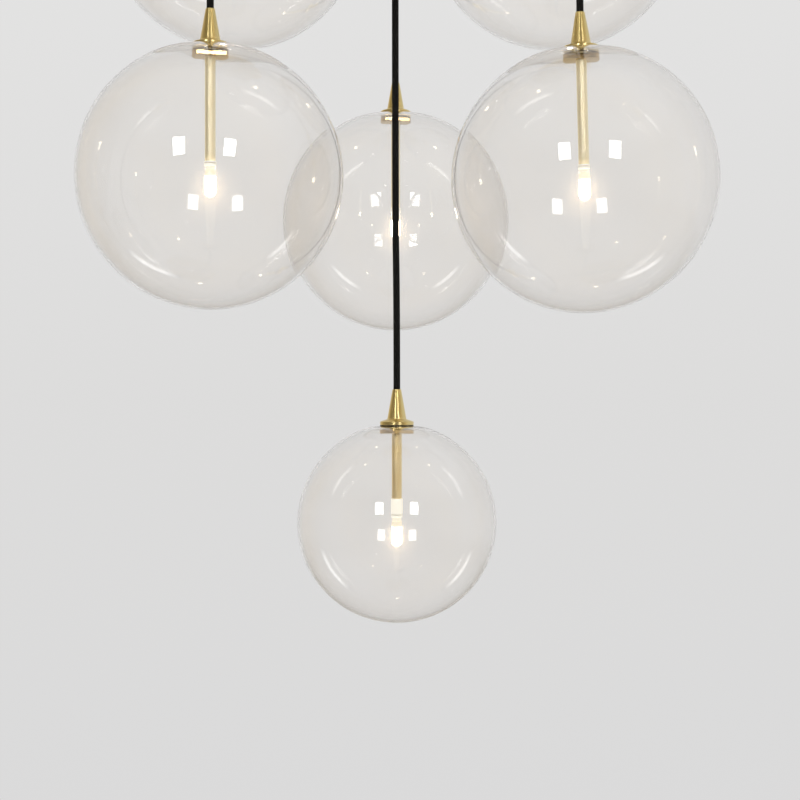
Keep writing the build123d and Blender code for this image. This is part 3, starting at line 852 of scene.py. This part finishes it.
def capsule_pin(name, side):
    pin = lathe(f"capsule_pin_{name}_{side}", rounded([
        (0.0, -PIN_IN_BASE, 0.0),
        (PIN_RADIUS, -PIN_IN_BASE, 0.0),
        (PIN_RADIUS, PIN_LENGTH, 0.15 * MM),
        (0.0, PIN_LENGTH, 0.0),
    ], closed=False), MATERIALS["pin"], closed=False, segments=20)
    across = PIN_SPACING * (0.5 if side == "a" else -0.5)
    for vertex in pin.data.vertices:
        vertex.co.x += across
    return pin


def pendant_frame(pendant):
    """The matrix that puts a piece drawn about the cap's foot under its cord, in line with it."""
    route = [Vector(point) for point in pendant.route]
    up = (route[-2] - route[-1]).normalized()
    where = Vector((0, 0, 1)).rotation_difference(up).to_matrix().to_4x4()
    where.translation = route[-1] - up * (CAP_HEIGHT - CORD_SEAT_DEPTH)
    return where


def make_pendant(name, pendant):
    globe = pendant.globe
    body = f"pendant_{name}"
    lamp_body = f"lamp_{name}"
    foot = pendant_frame(pendant)
    block_turn = Matrix.Rotation(math.radians(pendant.block_turn), 4, "Z")
    lamp_top = foot @ Matrix.Translation((0, 0, -globe.stem_drop - globe.holder_shown - LAMP_GAP))
    cord(name, pendant)
    place(turned_cap(name), foot, body, [f"cone_cap_{name}"])
    place(neck_seal(name), foot, body)
    place(blown_glass(name, globe), foot, body, [f"glass_globe_{name}"])
    place(clamp_block(name), foot @ block_turn, body, [f"clamp_block_{name}"])
    place(stem_tube(name, globe), foot, body, [f"stem_{name}"])
    place(steatite_holder(name, globe), lamp_top, body, [f"lampholder_{name}"])
    place(capsule_envelope(name), lamp_top, lamp_body, [f"lamp_{name}"])
    place(capsule_base(name), lamp_top, lamp_body)
    for side in ("a", "b"):
        place(capsule_pin(name, side), lamp_top, lamp_body)


# The canopy and what it holds


def turned_grip(name):
    """A cord grip under the canopy: flange, grooved taper with a wide mouth, and its stud."""
    mouth = -CANOPY_HEIGHT - GRIP_LENGTH
    flange = -CANOPY_HEIGHT - GRIP_FLANGE
    groove = flange - GRIP_GROOVE_DROP
    return lathe(f"turned_grip_{name}", rounded([
        (GRIP_BORE, -GRIP_STUD_TOP, 0.2 * MM),
        (GRIP_STUD_RADIUS, -GRIP_STUD_TOP, 0.4 * MM),
        (GRIP_STUD_RADIUS, -CANOPY_HEIGHT, 0.0),
        (GRIP_FLANGE_RADIUS, -CANOPY_HEIGHT, 0.2 * MM),
        (GRIP_FLANGE_RADIUS, flange, 0.5 * MM),
        (GRIP_TOP_RADIUS, flange, 0.3 * MM),
        (GRIP_TOP_RADIUS - 0.1 * MM, groove, 0.15 * MM),
        (GRIP_TOP_RADIUS - 0.1 * MM - GRIP_GROOVE_DEPTH, groove - GRIP_GROOVE_WIDTH / 2, 0.1 * MM),
        (GRIP_TOP_RADIUS - 0.2 * MM, groove - GRIP_GROOVE_WIDTH, 0.15 * MM),
        (GRIP_BOTTOM_RADIUS, mouth, 0.5 * MM),
        (GRIP_MOUTH_RADIUS, mouth, 0.3 * MM),
        (GRIP_MOUTH_RADIUS, mouth + GRIP_MOUTH_DEPTH, 0.0),
        (GRIP_BORE, mouth + GRIP_MOUTH_DEPTH, 0.2 * MM),
    ], steps=5), MATERIALS["cap"], segments=64, sharp=50.0)


def make_canopy():
    for node, material in DRESSED.items():
        dress(node, material)
    for name, pendant in PENDANTS.items():
        x, y, _ = pendant.route[0]
        place(turned_grip(name), Matrix.Translation((x, y, 0)), "root", ["cord_grips"])


def dress(node, material):
    """Gives a CAD node that stays on show its finish."""
    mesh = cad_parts[node].data
    mesh.materials.clear()
    mesh.materials.append(MATERIALS[material])


# Studio


def facing(at, along):
    """The matrix of a light at a place: its -Z points at the aim, its X lies along a direction."""
    back = (Vector(at) - AIM).normalized()
    across = (Vector(along) - back * back.dot(Vector(along))).normalized()
    turn = Matrix((across, back.cross(across), back)).transposed().to_4x4()
    return Matrix.Translation(at) @ turn


def glare_panel(name, size, where, strength, even):
    """A bright panel that only reflections show: even over a share of its width, then fading."""
    mesh = bpy.data.meshes.new(name)
    width, height = size[0] / 2, size[1] / 2
    corners = [(-width, -height, 0), (-width, height, 0), (width, height, 0), (width, -height, 0)]
    mesh.from_pydata(corners, [], [(0, 1, 2, 3)])
    material = bpy.data.materials.new(name)
    material.use_nodes = True
    tree = material.node_tree
    tree.nodes.clear()
    glow = add_node(tree, "ShaderNodeEmission", {"Color": (*LIGHT_TINT, 1.0)})
    output = add_node(tree, "ShaderNodeOutputMaterial")
    coordinates = add_node(tree, "ShaderNodeTexCoord")
    split = add_node(tree, "ShaderNodeSeparateXYZ")
    tree.links.new(coordinates.outputs["Object"], split.inputs["Vector"])
    across = math_node(tree, "MULTIPLY", split.outputs["X"], 1.0 / width)
    off_centre = math_node(tree, "ABSOLUTE", across)
    fade = add_node(
        tree,
        "ShaderNodeMapRange",
        {"From Min": even, "From Max": 1.0, "To Min": strength, "To Max": 0.0},
    )
    tree.links.new(off_centre, fade.inputs["Value"])
    tree.links.new(fade.outputs["Result"], glow.inputs["Strength"])
    tree.links.new(glow.outputs["Emission"], output.inputs["Surface"])
    mesh.materials.append(material)
    panel = bpy.data.objects.new(name, mesh)
    bpy.context.scene.collection.objects.link(panel)
    panel.matrix_world = where
    panel.visible_camera = False
    panel.visible_diffuse = False


def softbox(name, at):
    """A soft light: a panel that only reflections show, and a lamp that only matt surfaces get."""
    where = facing(at, (1, 0, 0))
    glare_panel(name, SOFTBOX_SIZE, where, SOFTBOX_GLARE, SOFTBOX_EVEN)
    light = bpy.data.lights.new(f"{name}_lamp", "AREA")
    light.shape = "RECTANGLE"
    light.size, light.size_y = SOFTBOX_SIZE
    light.energy = SOFTBOX_POWER
    light.color = LIGHT_TINT
    lamp = bpy.data.objects.new(f"{name}_lamp", light)
    bpy.context.scene.collection.objects.link(lamp)
    lamp.matrix_world = where
    lamp.visible_glossy = False
    lamp.visible_transmission = False


def from_signed(tree, value):
    """Maps -1..1 to 0..1."""
    made = math_node(tree, "MULTIPLY_ADD", value, 0.5)
    made.node.inputs[2].default_value = 0.5
    return made


def studio_world():
    """The pale wall, seen directly and through glass; a dimmer room behind the camera, darkest at
    its left and low down, for metal and glass to mirror; and a plain level for matt surfaces."""
    world = bpy.data.worlds.new("studio")
    bpy.context.scene.world = world
    world.use_nodes = True
    world.cycles.sampling_method = "NONE"
    tree = world.node_tree
    tree.nodes.clear()
    rays = add_node(tree, "ShaderNodeLightPath")
    coordinates = add_node(tree, "ShaderNodeTexCoord")
    split = add_node(tree, "ShaderNodeSeparateXYZ")
    tree.links.new(coordinates.outputs["Generated"], split.inputs["Vector"])
    towards_wall = from_signed(tree, split.outputs["Y"])
    to_right = math_node(tree, "MULTIPLY", split.outputs["X"], ROOM_TO_RIGHT)
    upward = math_node(tree, "MULTIPLY", split.outputs["Z"], ROOM_UPWARD)
    brightness = math_node(tree, "ADD", math_node(tree, "ADD", towards_wall, to_right), upward)
    height = from_signed(tree, split.outputs["Z"])
    seen_wall = ramp(tree, height, *WALL_TONES)
    room_and_floor = add_node(tree, "ShaderNodeVectorMath", operation="MULTIPLY")
    tree.links.new(ramp(tree, brightness, *ROOM_TONES), room_and_floor.inputs[0])
    tree.links.new(ramp(tree, height, *ROOM_LOW_DOWN), room_and_floor.inputs[1])
    through_glass = add_node(tree, "ShaderNodeBackground", {"Strength": 1.0})
    wall = add_node(tree, "ShaderNodeBackground", {"Strength": 1.0})
    mirrored = add_node(tree, "ShaderNodeBackground", {"Strength": 1.0})
    ambient = add_node(tree, "ShaderNodeBackground", {"Color": (*WALL_GREY, 1.0), "Strength": AMBIENT})
    tree.links.new(room_and_floor.outputs["Vector"], mirrored.inputs["Color"])
    tree.links.new(seen_wall, wall.inputs["Color"])
    # painted light: the wall seen through glass is brighter than the wall itself, making up for the
    # light that the glass reflects away
    brightened_through_glass = add_node(tree, "ShaderNodeVectorMath", {1: GLASS_PAINTED_BRIGHTENING}, operation="MULTIPLY")
    tree.links.new(seen_wall, brightened_through_glass.inputs[0])
    tree.links.new(brightened_through_glass.outputs["Vector"], through_glass.inputs["Color"])
    has_mirrored = math_node(tree, "MINIMUM", rays.outputs["Glossy Depth"], 1.0)
    shown = through_glass.outputs["Background"]
    for share, shader in (
        (rays.outputs["Is Camera Ray"], wall),
        (has_mirrored, mirrored),
        (rays.outputs["Is Diffuse Ray"], ambient),
    ):
        mix = add_node(tree, "ShaderNodeMixShader")
        tree.links.new(share, mix.inputs["Fac"])
        tree.links.new(shown, mix.inputs[1])
        tree.links.new(shader.outputs["Background"], mix.inputs[2])
        shown = mix.outputs["Shader"]
    output = add_node(tree, "ShaderNodeOutputWorld")
    tree.links.new(shown, output.inputs["Surface"])


def studio_floor():
    """A plain pale floor far below: mostly its own even tone, and thinning out into the wall's."""
    mesh = bpy.data.meshes.new("floor")
    bm = bmesh.new()
    bmesh.ops.create_circle(bm, cap_ends=True, segments=96, radius=FLOOR_RADIUS)
    bm.to_mesh(mesh)
    bm.free()
    material, tree, shader = new_material("floor")
    set_values(shader, {
        "Base Color": (0.25, 0.248, 0.245, 1.0),
        "Roughness": 0.9,
        "Specular IOR Level": 0.0,
        "Emission Color": (*WALL_GREY, 1.0),
        "Emission Strength": 0.6,
    })
    coordinates = add_node(tree, "ShaderNodeTexCoord")
    away = add_node(tree, "ShaderNodeVectorMath", operation="LENGTH")
    tree.links.new(coordinates.outputs["Object"], away.inputs[0])
    start, end = [share * FLOOR_RADIUS for share in FLOOR_FADE]
    fade = add_node(
        tree, "ShaderNodeMapRange", {"From Min": start, "From Max": end, "To Min": 1.0, "To Max": 0.0}
    )
    tree.links.new(away.outputs["Value"], fade.inputs["Value"])
    tree.links.new(fade.outputs["Result"], shader.inputs["Alpha"])
    mesh.materials.append(material)
    floor = bpy.data.objects.new("floor", mesh)
    bpy.context.scene.collection.objects.link(floor)
    floor.location.z = -FLOOR_DROP
    floor.visible_glossy = False


def studio():
    studio_world()
    studio_floor()
    for side, name in ((-1, "softbox_left"), (1, "softbox_right")):
        softbox(name, (side * SOFTBOX_AT[0], SOFTBOX_AT[1], SOFTBOX_AT[2]))
    for side, name in ((-1, "strip_left"), (1, "strip_right")):
        strip_at = (side * STRIP_AT[0], STRIP_AT[1], STRIP_AT[2])
        glare_panel(name, STRIP_SIZE, facing(strip_at, (side, 0, 1)), STRIP_GLARE, STRIP_EVEN)


def camera():
    data = bpy.data.cameras.new("camera")
    data.sensor_width = SENSOR
    data.lens = CAMERA_LENS
    data.clip_start = 0.01
    made = bpy.data.objects.new("camera", data)
    made.location = CAMERA_AT
    made.rotation_euler = (math.pi / 2, 0, 0)
    bpy.context.scene.collection.objects.link(made)
    bpy.context.scene.camera = made


def render_settings():
    scene = bpy.context.scene
    scene.view_settings.view_transform = "Standard"
    scene.cycles.max_bounces = 32
    scene.cycles.transmission_bounces = 28
    scene.cycles.glossy_bounces = 12
    scene.cycles.transparent_max_bounces = 48
    scene.cycles.caustics_reflective = False
    scene.cycles.caustics_refractive = False


camera()
for pendant_name, pendant_data in PENDANTS.items():
    make_pendant(pendant_name, pendant_data)
make_canopy()
studio()
render_settings()
